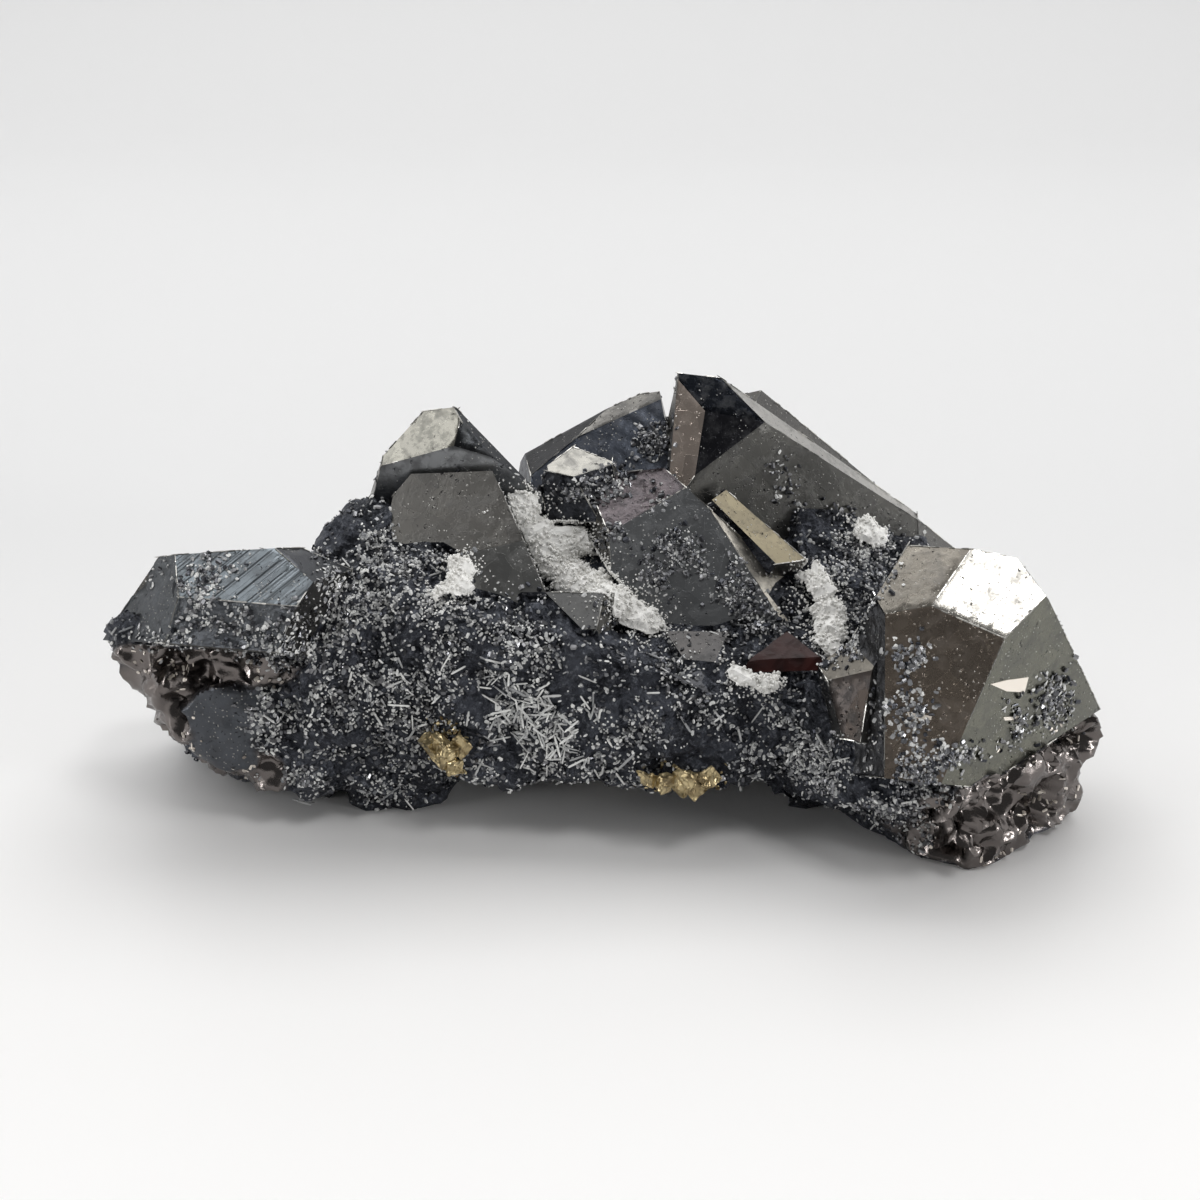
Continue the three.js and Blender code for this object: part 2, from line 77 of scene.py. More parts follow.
def lattice(i, j, k, seed):  # a repeatable number from 0 to 1 for each lattice point
    h = (i * 374761393 + j * 668265263 + k * 1103515245 + seed * 144665) & 0xFFFFFFFF
    h = ((h ^ (h >> 13)) * 1274126177) & 0xFFFFFFFF
    return ((h ^ (h >> 16)) & 0xFFFF) / 65535.0


def noise(points, size, seed):  # smooth noise from -1 to 1, with lumps of the given size
    q = points / size
    base = np.floor(q).astype(np.int64)
    f = q - base
    f = f * f * (3 - 2 * f)
    total = np.zeros(len(points))
    for dx in (0, 1):
        for dy in (0, 1):
            for dz in (0, 1):
                weight = np.abs(1 - dx - f[:, 0]) * np.abs(1 - dy - f[:, 1]) * np.abs(1 - dz - f[:, 2])
                total += weight * lattice(base[:, 0] + dx, base[:, 1] + dy, base[:, 2] + dz, seed)
    return 2 * total - 1


def blocky(points, size, seed):  # flat-faced bumps from 0 to 1: each cell has a block turned its own way
    base = np.floor(points / size).astype(np.int64)
    best = np.zeros(len(points))
    for step in np.ndindex(3, 3, 3):
        cell = base + np.array(step) - 1
        draw = [lattice(*cell.T, seed + 7 * k) for k in range(12)]
        offset = points / size - cell - np.stack(draw[:3], axis=1)
        reach = np.zeros(len(points))
        for k in (3, 6, 9):
            way = np.stack(draw[k:k + 3], axis=1) - 0.5
            way /= np.linalg.norm(way, axis=1)[:, None] + 1e-9
            reach = np.maximum(reach, np.abs((offset * way).sum(axis=1)))
        best = np.maximum(best, 1 - reach)
    return best


def weld(node):  # vertices and triangles of a CAD node, with its split corners joined again
    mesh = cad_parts[node].data
    mesh.calc_loop_triangles()
    co = np.empty(len(mesh.vertices) * 3)
    mesh.vertices.foreach_get("co", co)
    co = co.reshape(-1, 3)
    tri = np.empty(len(mesh.loop_triangles) * 3, np.int32)
    mesh.loop_triangles.foreach_get("vertices", tri)
    grid = np.round(co * 1e7).astype(np.int64)
    _, first, inverse = np.unique(grid, axis=0, return_index=True, return_inverse=True)
    tri = inverse.ravel()[tri].reshape(-1, 3)
    keep = (tri[:, 0] != tri[:, 1]) & (tri[:, 1] != tri[:, 2]) & (tri[:, 2] != tri[:, 0])
    return co[first], tri[keep]


def faceNormals(co, tri):
    n = np.cross(co[tri[:, 1]] - co[tri[:, 0]], co[tri[:, 2]] - co[tri[:, 0]])
    area = np.linalg.norm(n, axis=1)
    return n / np.maximum(area, 1e-18)[:, None], area / 2


def vertexNormals(co, tri):
    n, area = faceNormals(co, tri)
    total = np.zeros_like(co)
    for corner in range(3):
        np.add.at(total, tri[:, corner], n * area[:, None])
    return total / np.maximum(np.linalg.norm(total, axis=1), 1e-18)[:, None]


# Halves every edge longer than its limit, the same way in both triangles at it.
def splitLong(co, tri, tag, limits):
    for _ in range(12):
        pairs = np.sort(np.stack([tri, np.roll(tri, -1, axis=1)], axis=2).reshape(-1, 2), axis=1)
        edges, index = np.unique(pairs, axis=0, return_inverse=True)
        index = index.reshape(-1, 3)
        limit = np.full(len(edges), 1.0)
        for corner in range(3):
            np.minimum.at(limit, index[:, corner], limits[tag])
        isLong = np.linalg.norm(co[edges[:, 0]] - co[edges[:, 1]], axis=1) > limit
        if not isLong.any():
            break
        middle = np.full(len(edges), -1)
        middle[isLong] = len(co) + np.arange(isLong.sum())
        co = np.concatenate([co, co[edges[isLong]].mean(axis=1)])
        cut = middle[index]
        count = (cut >= 0).sum(axis=1)
        # turn each triangle so that a single cut is on its first edge and a single whole edge is its last
        firstCut, firstWhole = (cut >= 0).argmax(axis=1), (cut < 0).argmax(axis=1)
        turn = np.where(count == 1, firstCut, np.where(count == 2, (firstWhole + 1) % 3, 0))
        order = (np.arange(3)[None] + turn[:, None]) % 3
        a, b, c = np.take_along_axis(tri, order, 1).T
        p, q, r = np.take_along_axis(cut, order, 1).T
        parts, tags = [tri[count == 0]], [tag[count == 0]]
        for number, shapes in {1: "apc pbc", 2: "pbq apq aqc", 3: "apr pbq rqc pqr"}.items():
            pick = count == number
            names = dict(a=a[pick], b=b[pick], c=c[pick], p=p[pick], q=q[pick], r=r[pick])
            for shape in shapes.split():
                parts.append(np.stack([names[letter] for letter in shape], axis=1))
                tags.append(tag[pick])
        tri, tag = np.concatenate(parts), np.concatenate(tags)
    return co, tri, tag


def makeMesh(name, co, tri, material, smooth=None):
    mesh = bpy.data.meshes.new(name)
    mesh.vertices.add(len(co))
    mesh.vertices.foreach_set("co", np.asarray(co, np.float32).ravel())
    mesh.loops.add(len(tri) * 3)
    mesh.loops.foreach_set("vertex_index", np.asarray(tri, np.int32).ravel())
    mesh.polygons.add(len(tri))
    mesh.polygons.foreach_set("loop_start", np.arange(len(tri), dtype=np.int32) * 3)
    mesh.update(calc_edges=True)
    mesh.validate()
    mesh.materials.append(material)
    if smooth is None:
        mesh.shade_flat()
    else:
        mesh.shade_smooth()
        mesh.set_sharp_from_angle(angle=math.radians(smooth))
    piece = bpy.data.objects.new(name, mesh)
    bpy.context.collection.objects.link(piece)
    return piece


def setAttribute(piece, name, values, domain="FACE"):
    values = np.asarray(values, np.float32)
    if values.ndim == 2:
        layer = piece.data.attributes.new(name, "FLOAT_COLOR", domain)
        rgba = np.concatenate([values, np.ones((len(values), 1), np.float32)], axis=1)
        layer.data.foreach_set("color", rgba.ravel())
    else:
        layer = piece.data.attributes.new(name, "FLOAT", domain)
        layer.data.foreach_set("value", values)


class Wire:  # one socket of a node tree, with arithmetic on it
    def __init__(self, tree, socket):
        self.tree, self.socket = tree, socket

    def make(self, kind, sockets=None, out=0, **settings):
        node = self.tree.nodes.new(kind)
        for key, value in settings.items():
            setattr(node, key, value)
        for key, value in (sockets or {}).items():
            if isinstance(value, Wire):
                self.tree.links.new(value.socket, node.inputs[key])
            else:
                node.inputs[key].default_value = value
        return Wire(self.tree, node.outputs[out])

    def math(self, operation, first, second=0.0):
        return self.make("ShaderNodeMath", {0: first, 1: second}, operation=operation)

    def __add__(self, other):
        return self.math("ADD", self, other)

    def __sub__(self, other):
        return self.math("SUBTRACT", self, other)

    def __mul__(self, other):
        return self.math("MULTIPLY", self, other)

    def __radd__(self, other):
        return self.math("ADD", other, self)

    def __rsub__(self, other):
        return self.math("SUBTRACT", other, self)

    def __rmul__(self, other):
        return self.math("MULTIPLY", other, self)

    def ramp(self, low, high):  # 0 below low, 1 above high, smooth between
        sockets = {"Value": self, "From Min": low, "From Max": high}
        return self.make("ShaderNodeMapRange", sockets, interpolation_type="SMOOTHSTEP")

    def mix(self, *ends):  # a colour from the first to the second as this goes from 0 to 1
        first, second = [end if isinstance(end, Wire) else (*end, 1) for end in ends]
        return self.make("ShaderNodeMix", {0: self, 6: first, 7: second}, out=2, data_type="RGBA")


class Surface:  # a Principled material and the wires to feed it
    def __init__(self, name):
        self.material = bpy.data.materials.new(name)
        self.material.use_nodes = True
        self.tree = self.material.node_tree
        self.principled = self.tree.nodes["Principled BSDF"]
        self.start = Wire(self.tree, None)
        self.place = self.start.make("ShaderNodeTexCoord", out="Object")

    def attribute(self, name, out="Fac"):
        return self.start.make("ShaderNodeAttribute", out=out, attribute_name=name)

    def noise(self, size, detail, roughness):
        sockets = {"Vector": self.place, "Scale": 1 / size, "Detail": detail, "Roughness": roughness}
        return self.start.make("ShaderNodeTexNoise", sockets)

    def cells(self, size, out="Distance"):
        return self.start.make("ShaderNodeTexVoronoi", {"Vector": self.place, "Scale": 1 / size}, out=out)

    def lines(self, across, size):  # noise that changes along one direction only
        sockets = {0: self.place, 1: across}
        along = self.start.make("ShaderNodeVectorMath", sockets, "Value", operation="DOT_PRODUCT")
        sockets = {"W": along, "Scale": 1 / size, "Detail": 2.0}
        return self.start.make("ShaderNodeTexNoise", sockets, noise_dimensions="1D")

    def bump(self, height, depth):
        return self.start.make("ShaderNodeBump", {"Height": height, "Distance": depth, "Strength": 1.0})

    def feed(self, **sockets):
        for key, value in sockets.items():
            target = self.principled.inputs[key.replace("_", " ")]
            if isinstance(value, Wire):
                self.tree.links.new(value.socket, target)
            else:
                target.default_value = value
        return self.material


def rgb(red, green, blue):  # a colour given as in a picture, from 0 to 255
    parts = np.array([red, green, blue]) / 255
    return np.where(parts < 0.04045, parts / 12.92, ((parts + 0.055) / 1.055) ** 2.4)


# Tetrahedrite: metallic crystal faces, each with a tint that is partly its tone and partly painted reflection
# and shade, and a dark rough matrix.
metal = dict(
    cloud=3.0 * mm,
    fine=0.3 * mm,
    haze=0.9 * mm,
    pit=0.26 * mm,
    dust=0.27 * mm,
    plate=1.5 * mm,
    bump=0.12 * mm,
    matrixDark=rgb(34, 36, 42),
    matrixLight=rgb(70, 73, 81),
    fleckTint=rgb(128, 131, 138),
    hazeTint=rgb(92, 92, 92),
    plateTint=rgb(66, 67, 70),
    pitPaintedShade=rgb(34, 34, 37),
    dustTint=rgb(196, 195, 190),
    breakTint=rgb(116, 110, 107),
)


def tetrahedriteMaterial():
    s = Surface("tetrahedrite")
    crystal = s.attribute("crystal")
    fracture = s.attribute("fracture")
    toneAndPaintedReflection = s.attribute("toneAndPaintedReflection", out="Color")
    cloud = s.noise(metal["cloud"], 5, 0.6)
    fine = s.noise(metal["fine"], 5, 0.65)
    haze = s.noise(metal["haze"], 6, 0.7).ramp(0.44, 0.7)
    worn = 0.2 * s.attribute("worn")
    pitted = (s.noise(2.4 * mm, 4, 0.65) + worn).ramp(0.5, 0.66)
    pits = s.noise(metal["pit"], 3, 0.6).ramp(0.62, 0.72) * pitted
    dusty = (s.noise(1.7 * mm, 4, 0.7) + worn).ramp(0.58, 0.68)
    dust = (1 - s.cells(metal["dust"]).ramp(0.12, 0.22)) * dusty
    plates = s.cells(metal["plate"], out="Color").ramp(0.1, 0.9)  # low flat steps of growth
    matrix = cloud.ramp(0.35, 0.7).mix(metal["matrixDark"], metal["matrixLight"])
    matrix = (fine.ramp(0.5, 0.7) * 0.5).mix(matrix, metal["fleckTint"])
    # The face tint carries painted reflection and painted shade, face by face.
    face = (haze * 0.4).mix(toneAndPaintedReflection, metal["hazeTint"])
    face = (plates * 0.25).mix(face, metal["plateTint"])
    # Painted shade: the pits are darkened in colour.
    face = pits.mix(face, metal["pitPaintedShade"])
    face = (dust * 0.8).mix(face, metal["dustTint"])
    colour = crystal.mix(matrix, face)
    colour = (fracture * 0.9).mix(colour, metal["breakTint"])
    metallic = 0.7 + 0.28 * crystal * (1 - dust) + 0.28 * fracture * (1 - crystal)
    gloss = s.attribute("gloss")
    roughness = gloss + 0.2 * haze * crystal + 0.2 * dust * crystal - 0.22 * fracture
    lines = s.lines(stripes["across"], stripes["width"]).ramp(0.4, 0.6) * s.attribute("striped")
    faceHeight = 0.06 * haze - 0.45 * pits + 0.3 * dust + 0.12 * plates
    height = (1 - crystal) * (1 - 0.85 * fracture) * fine + crystal * faceHeight + 0.3 * lines
    normal = s.bump(height, metal["bump"])
    return s.feed(Base_Color=colour, Metallic=metallic, Roughness=roughness, Normal=normal)


def grainMaterial(name, dark, light, metallic, roughness):
    s = Surface(name)
    colour = s.attribute("shade").mix(dark, light)
    return s.feed(Base_Color=colour, Metallic=metallic, Roughness=roughness)


co, tri = weld("tetrahedrite")
cadTree = BVHTree.FromPolygons(co.tolist(), tri.tolist())


def onSkin(u, v):  # the place and the triangle that a pixel of the reference view shows
    place, _, number, _ = cadTree.ray_cast(Vector(eye), sightLine(u, v))
    return np.array(place), number


# Growth lines on the left arm, along the line between two pixels.
stripes = dict(start=(197, 597), end=(217, 581), width=0.6 * mm)
along = onSkin(*stripes["end"])[0] - onSkin(*stripes["start"])[0]
armNormal = faceNormals(co, tri)[0][onSkin(*stripes["start"])[1]]
stripes["across"] = np.cross(armNormal, along) / np.linalg.norm(along)

tetrahedriteLook = tetrahedriteMaterial()
whiteLook = grainMaterial("whiteGrain", rgb(120, 122, 126), rgb(250, 250, 247), 0.0, 0.42)
# Pale chips with painted highlights, on the breaks and on the right crystal.
paintedGlintLook = grainMaterial("paintedBreakGlint", rgb(120, 112, 104), rgb(255, 246, 234), 0.25, 0.22)
edgeLook = grainMaterial("brightEdge", rgb(120, 119, 116), rgb(226, 224, 218), 0.95, 0.3)
darkLook = grainMaterial("darkGrain", rgb(58, 60, 66), rgb(150, 150, 152), 0.9, 0.3)
quartzLook = grainMaterial("quartz", rgb(226, 225, 221), rgb(252, 251, 248), 0.0, 0.5)
pyriteLook = grainMaterial("pyrite", rgb(96, 80, 54), rgb(226, 208, 164), 0.9, 0.3)
sphaleriteLook = grainMaterial("sphalerite", rgb(30, 13, 12), rgb(60, 27, 24), 0.0, 0.42)
sphaleriteLook.node_tree.nodes["Principled BSDF"].inputs["Specular IOR Level"].default_value = 0.25

# The skin of the specimen. Each named face is found where its spot shows in the reference view.
skin = dict(
    roughEdge=0.32 * mm,
    backEdge=0.56 * mm,
    faceEdge=1.0 * mm,
    smallestFace=5.0,  # square mm
    largestBack=25.0,  # a larger face low at the back stays a crystal face
    backRock=9 * mm,
    smoothing=3,
    blocks=((2.8 * mm, 1.5 * mm), (1.2 * mm, 0.8 * mm), (0.6 * mm, 0.3 * mm)),
    waves=0.012 * mm,
    highest=0.5 * mm,
)
# Each named face's tint paints in how bright it shows: painted reflection on the bright faces, painted shade
# on the dark ones.
faces = dict(
    armStripes=dict(spot=(250, 585), toneAndPaintedReflection=rgb(122, 129, 134), gloss=0.3, striped=1.0, worn=0.6),
    armEnd=dict(spot=(300, 560), toneAndPaintedReflection=rgb(82, 84, 88), gloss=0.3, worn=0.5),
    armFront=dict(spot=(240, 625), toneAndPaintedReflection=rgb(128, 132, 136), gloss=0.42, relief=0.45, worn=0.8),
    armNose=dict(spot=(160, 600), toneAndPaintedReflection=rgb(100, 103, 105), gloss=0.5, relief=0.3, worn=0.9),
    peakBright=dict(spot=(430, 440), toneAndPaintedReflection=rgb(163, 161, 152), gloss=0.24, worn=0.3),
    peakDark=dict(spot=(420, 468), toneAndPaintedReflection=rgb(136, 138, 140), gloss=0.3),
    peakRight=dict(spot=(478, 445), toneAndPaintedReflection=rgb(56, 58, 60), gloss=0.26),
    bodyBig=dict(spot=(460, 505), toneAndPaintedReflection=rgb(120, 118, 114), gloss=0.28, worn=0.5),
    bodyLow=dict(spot=(520, 570), toneAndPaintedReflection=rgb(158, 158, 156), gloss=0.3),
    middlePeak=dict(spot=(620, 440), toneAndPaintedReflection=rgb(86, 91, 101), gloss=0.34, relief=0.12, worn=0.7),
    middlePeakLeft=dict(spot=(575, 428), toneAndPaintedReflection=rgb(64, 64, 66), gloss=0.36, worn=0.7),
    stepTop=dict(spot=(580, 465), toneAndPaintedReflection=rgb(150, 148, 142), gloss=0.25),
    stepFront=dict(spot=(560, 490), toneAndPaintedReflection=rgb(60, 62, 66), gloss=0.4, relief=0.5),
    stepRight=dict(spot=(595, 490), toneAndPaintedReflection=rgb(38, 39, 44), gloss=0.4, relief=0.5),
    centerFront=dict(spot=(690, 545), toneAndPaintedReflection=rgb(138, 140, 142), gloss=0.36, worn=0.7),
    centerLeft=dict(spot=(650, 495), toneAndPaintedReflection=rgb(130, 120, 122), gloss=0.44, relief=0.3, worn=1.0),
    centerRight=dict(spot=(755, 565), toneAndPaintedReflection=rgb(228, 222, 210), gloss=0.34, worn=0.6),
    lath=dict(spot=(760, 535), toneAndPaintedReflection=rgb(168, 158, 134), gloss=0.42, worn=0.8),
    blockLeft=dict(spot=(685, 425), toneAndPaintedReflection=rgb(228, 212, 200), gloss=0.28),
    blockTop=dict(spot=(725, 400), toneAndPaintedReflection=rgb(26, 29, 35), gloss=0.26),
    blockFront=dict(spot=(725, 450), toneAndPaintedReflection=rgb(52, 52, 57), gloss=0.28),
    blockLong=dict(spot=(810, 490), toneAndPaintedReflection=rgb(122, 121, 117), gloss=0.34, worn=0.6),
    blockStrip=dict(spot=(830, 459), toneAndPaintedReflection=rgb(210, 208, 204), gloss=0.3, worn=0.7),
    rightShoulder=dict(spot=(915, 580), toneAndPaintedReflection=rgb(160, 154, 144), gloss=0.27, worn=0.6),
    rightCrown=dict(spot=(1000, 595), toneAndPaintedReflection=rgb(214, 210, 202), gloss=0.22, worn=0.65),
    rightFront=dict(spot=(950, 680), toneAndPaintedReflection=rgb(160, 147, 134), gloss=0.27, worn=0.4),
    rightSide=dict(spot=(1030, 670), toneAndPaintedReflection=rgb(112, 112, 102), gloss=0.27, worn=0.6),
    rightLeft=dict(spot=(865, 620), toneAndPaintedReflection=rgb(80, 79, 78), gloss=0.42, relief=0.4, worn=0.8),
    frontFacet=dict(spot=(695, 645), toneAndPaintedReflection=rgb(86, 84, 83), gloss=0.4, worn=0.7),
    frontFacetLow=dict(spot=(685, 675), toneAndPaintedReflection=rgb(110, 110, 112), gloss=0.42, relief=0.5, worn=0.9),
    shelfTop=dict(spot=(570, 612), toneAndPaintedReflection=rgb(108, 108, 107), gloss=0.4, worn=0.9),
    lathRight=dict(spot=(853, 710), toneAndPaintedReflection=rgb(58, 52, 48), gloss=0.3, worn=0.6),
)
matrixLook = dict(toneAndPaintedReflection=rgb(90, 90, 94), gloss=0.4, relief=1.0, worn=0.0)
plainFaces = [  # crystal faces without a name take these in turn
    dict(toneAndPaintedReflection=rgb(72, 74, 78), gloss=0.3, worn=0.9),
    dict(toneAndPaintedReflection=rgb(108, 107, 105), gloss=0.26, worn=0.7),
    dict(toneAndPaintedReflection=rgb(146, 141, 132), gloss=0.3, worn=0.8),
    dict(toneAndPaintedReflection=rgb(92, 94, 100), gloss=0.38, worn=1.0, striped=0.7),
    dict(toneAndPaintedReflection=rgb(126, 124, 120), gloss=0.34, worn=0.9),
]

normals, areas = faceNormals(co, tri)
offsets = (normals * co[tri[:, 0]]).sum(axis=1)
faceOf = np.full(len(tri), 0)  # 0 is rough rock, 1 a crystal face without a name, then the named
names = list(faces)
for number, name in enumerate(names, start=2):
    hit = onSkin(*faces[name]["spot"])[1]
    level = np.abs(co[tri] @ normals[hit] - offsets[hit]).max(axis=1) < 0.02 * mm
    same = level & (normals @ normals[hit] > 0.9998)
    if areas[same].sum() < 1.5e-6:
        print("small face", name, round(areas[same].sum() * 1e6, 2))
    faceOf[same] = number
keys = np.round(np.concatenate([normals * 150, offsets[:, None] / (0.03 * mm)], axis=1)).astype(np.int64)
group = np.unique(keys, axis=0, return_inverse=True)[1].ravel()
groupArea = np.bincount(group, areas) * 1e6
faceOf[(faceOf == 0) & (groupArea[group] > skin["smallestFace"])] = 1

# Edges with the two triangles at each; a small face set mostly among crystal faces is a crystal face too.
pairs = np.sort(np.stack([tri, np.roll(tri, -1, axis=1)], axis=2).reshape(-1, 2), axis=1)
edges, index = np.unique(pairs, axis=0, return_inverse=True)
one, two = np.repeat(np.arange(len(tri)), 3)[np.argsort(index.ravel(), kind="stable")].reshape(-1, 2).T
runs = np.linalg.norm(co[edges[:, 0]] - co[edges[:, 1]], axis=1) * (group[one] != group[two])
rim, crystalRim = np.zeros(len(groupArea)), np.zeros(len(groupArea))
for here, there in ((one, two), (two, one)):
    np.add.at(rim, group[here], runs)
    np.add.at(crystalRim, group[here], runs * (faceOf[there] > 0))
faceOf[(faceOf == 0) & (crystalRim > 0.6 * rim)[group]] = 1

# Faces low at the back are rough rock, and the plain crystal faces that are left take their looks in turn.
middle = np.stack([np.bincount(group, areas * co[tri].mean(axis=1)[:, axis]) for axis in range(3)], axis=1)
middle /= (groupArea * 1e-6)[:, None]
lowBack = (middle[:, 1] > 1 * mm) & (middle[:, 2] < skin["backRock"]) & (groupArea < skin["largestBack"])
faceOf[(faceOf == 1) & lowBack[group]] = 0
firstPlain = len(names) + 2
faceOf = np.where(faceOf == 1, firstPlain + group % len(plainFaces), faceOf)

# Sharp outer edges between crystal faces, for the bright nicks.
bend = (normals[one] * normals[two]).sum(axis=1)
sunk = (normals[two] * (co[tri[one]].mean(axis=1) - co[tri[two]].mean(axis=1))).sum(axis=1)
sharp = (faceOf[one] > 0) & (faceOf[two] > 0) & (bend < 0.94) & (sunk < 0)
edgeEnds, edgeOut = co[edges[sharp]], (normals[one] + normals[two])[sharp]

looks = [matrixLook, plainFaces[0]] + list(faces.values()) + plainFaces + [matrixLook]
backRough = len(looks) - 1  # rough rock turned away from the reference view
away = (normals * (eye - co[tri].mean(axis=1))).sum(axis=1) < 0
faceOf = np.where((faceOf == 0) & away, backRough, faceOf)
reliefs = np.array([look.get("relief", 0.0) for look in looks])
limits = np.where(reliefs > 0, skin["roughEdge"], skin["faceEdge"])
limits[backRough] = skin["backEdge"]
co, tri, faceOf = splitLong(co, tri, faceOf, limits)
print("skin split:", len(tri), "triangles,", len(names), "named faces")

relief = np.ones(len(co))
for corner in range(3):
    np.minimum.at(relief, tri[:, corner], reliefs[faceOf])
inside = (relief > 0.999) & (co[:, 2] > 0.05 * mm)
halfEdges = np.concatenate([tri[:, [0, 1]], tri[:, [1, 2]], tri[:, [2, 0]]])
starts, ends = halfEdges.T
valence = np.bincount(starts, minlength=len(co))
for _ in range(skin["smoothing"]):
    mean = np.stack([np.bincount(starts, co[ends, axis], len(co)) for axis in range(3)], axis=1)
    mean /= np.maximum(valence, 1)[:, None]
    co = np.where(inside[:, None], 0.45 * co + 0.55 * mean, co)
outward = vertexNormals(co, tri)

# Hollows: smooth dark shells where the rock broke clean.
hollows = dict(
    leftHollow=dict(spot=(226, 718), reach=(2.9 * mm, 4 * mm, 1.9 * mm)),
    leftBelow=dict(spot=(222, 757), reach=(2.4 * mm, 3 * mm, 1.4 * mm)),
)
calm = np.zeros(len(co))
for place in hollows.values():
    far = np.linalg.norm((co - onSkin(*place["spot"])[0]) / place["reach"], axis=1)
    calm = np.maximum(calm, np.clip((1.05 + 0.2 * noise(co, 0.9 * mm, 63) - far) / 0.12, 0, 1))

# Breaks: shell-like broken metal, at the lower right end and in bands on the lower left.
breaks = dict(
    rightEnd=dict(spot=(1035, 800), reach=(8.5 * mm, 9 * mm, 7 * mm), steps=0.95 * mm),
    leftBand=dict(spot=(200, 668), reach=(7 * mm, 5 * mm, 1.3 * mm), steps=0.6 * mm),
    leftEdge=dict(spot=(160, 715), reach=(3.4 * mm, 5 * mm, 3.6 * mm), steps=0.6 * mm),
    leftLow=dict(spot=(240, 775), reach=(3.2 * mm, 4 * mm, 1.8 * mm), steps=0.6 * mm),
)
stretched = co @ np.array([[0.9, -0.25, 0.4], [0.3, 1.0, 0.0], [-0.45, 0.1, 0.6]])
bent = stretched + 0.5 * mm * np.stack([noise(co, 1.1 * mm, seed) for seed in (901, 902, 903)], axis=1)
octaves = ((1.8 * mm, 2.2), (0.9 * mm, 0.9), (0.4 * mm, 0.25))  # sizes and weights of the folds
folds = sum(weight * np.abs(noise(bent, size, 910)) for size, weight in octaves)
shells = 0.8 - folds  # sharp crests, round hollows
broken = np.zeros(len(co))
steps = np.zeros(len(co))
for place in breaks.values():
    far = np.linalg.norm((co - onSkin(*place["spot"])[0]) / place["reach"], axis=1)
    share = np.clip((1.1 + 0.25 * noise(co, 1.5 * mm, 61) - far) / 0.15, 0, 1) * (relief > 0.4)
    share = share * (1 - calm)
    broken = np.maximum(broken, share)
    steps = np.maximum(steps, share * place["steps"])
lift = np.zeros(len(co))
for seed, (size, height) in enumerate(skin["blocks"]):
    lift += height * (blocky(co, size, 100 * seed) - 0.8)
lift = relief * lift * (1 - broken) * (1 - 0.93 * calm) + steps * shells
lift = np.minimum(lift, skin["highest"])
lift += 0.12 * mm * calm * noise(stretched, 1.0 * mm, 65)
lift += np.where(relief < 0.01, skin["waves"] * noise(co, 1.6 * mm, 31), 0)
lift *= np.clip(co[:, 2] / (0.6 * mm), 0, 1)
co = co + outward * lift[:, None]
co[:, 2] = np.maximum(co[:, 2], 0)

specimen = makeMesh("tetrahedriteSkin", co, tri, tetrahedriteLook, smooth=50)
flat = specimen.data.attributes.new("sharp_face", "BOOLEAN", "FACE")
calmFace = calm[tri].mean(axis=1) * (reliefs[faceOf] > 0)
flat.data.foreach_set("value", (reliefs[faceOf] > 0.25) & (calmFace < 0.5) & (broken[tri].mean(axis=1) < 0.5))
# Tints per face, with painted reflection and shade in them.
tonesAndPaintedReflection = np.array([look["toneAndPaintedReflection"] for look in looks])
glosses = np.array([look["gloss"] for look in looks])
setAttribute(specimen, "toneAndPaintedReflection", np.where(calmFace[:, None] > 0.5, rgb(88, 91, 96), tonesAndPaintedReflection[faceOf]))
setAttribute(specimen, "gloss", glosses[faceOf])
setAttribute(specimen, "crystal", np.maximum(1 - reliefs[faceOf], 0.9 * calmFace))
worn = np.array([look.get("worn", 0.3) for look in looks])
setAttribute(specimen, "worn", np.where(calmFace > 0.5, 0.9, worn[faceOf]))
striped = np.array([look.get("striped", 0.0) for look in looks])
setAttribute(specimen, "striped", striped[faceOf])
setAttribute(specimen, "fracture", broken, "POINT")
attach(specimen, "root")
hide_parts("tetrahedrite")
skinTree = BVHTree.FromPolygons(co.tolist(), tri.tolist())
print("skin done:", len(tri), "triangles")


# Grains: small closed shapes turned about their own long axis, from a profile of rings along it.
# Profile rows are [place along the axis from -0.5 to 0.5, radius]; the ends are points.
def turned(profile, sides):
    ring = np.arange(sides) * 2 * math.pi / sides
    points = [[[0, 0, profile[0][0]]]]
    for z, r in profile[1:-1]:
        points.append(np.stack([r * np.cos(ring), r * np.sin(ring), np.full(sides, z)], axis=1))
    points.append([[0, 0, profile[-1][0]]])
    tris = [[0, 1 + (k + 1) % sides, 1 + k] for k in range(sides)]
    for level in range(len(profile) - 3):
        a, b = 1 + level * sides, 1 + (level + 1) * sides
        for k in range(sides):
            n = (k + 1) % sides
            tris += [[a + k, a + n, b + n], [a + k, b + n, b + k]]
    last, top = 1 + (len(profile) - 3) * sides, 1 + (len(profile) - 2) * sides
    tris += [[last + k, last + (k + 1) % sides, top] for k in range(sides)]
    return np.concatenate([np.asarray(p, float) for p in points]), np.array(tris)


needleShape = turned([[-0.5, 0], [-0.44, 0.4], [-0.36, 0.5], [0.36, 0.5], [0.44, 0.4], [0.5, 0]], 6)
riceShape = turned([[-0.5, 0], [-0.38, 0.34], [-0.12, 0.5], [0.14, 0.5], [0.38, 0.34], [0.5, 0]], 5)
dotShape = turned([[-0.5, 0], [-0.24, 0.46], [0.24, 0.46], [0.5, 0]], 5)
prismShape = turned([[-0.5, 0], [-0.28, 0.5], [0.28, 0.5], [0.5, 0]], 6)
flakeShape = turned([[-0.5, 0], [-0.3, 0.46], [0.34, 0.5], [0.5, 0]], 4)


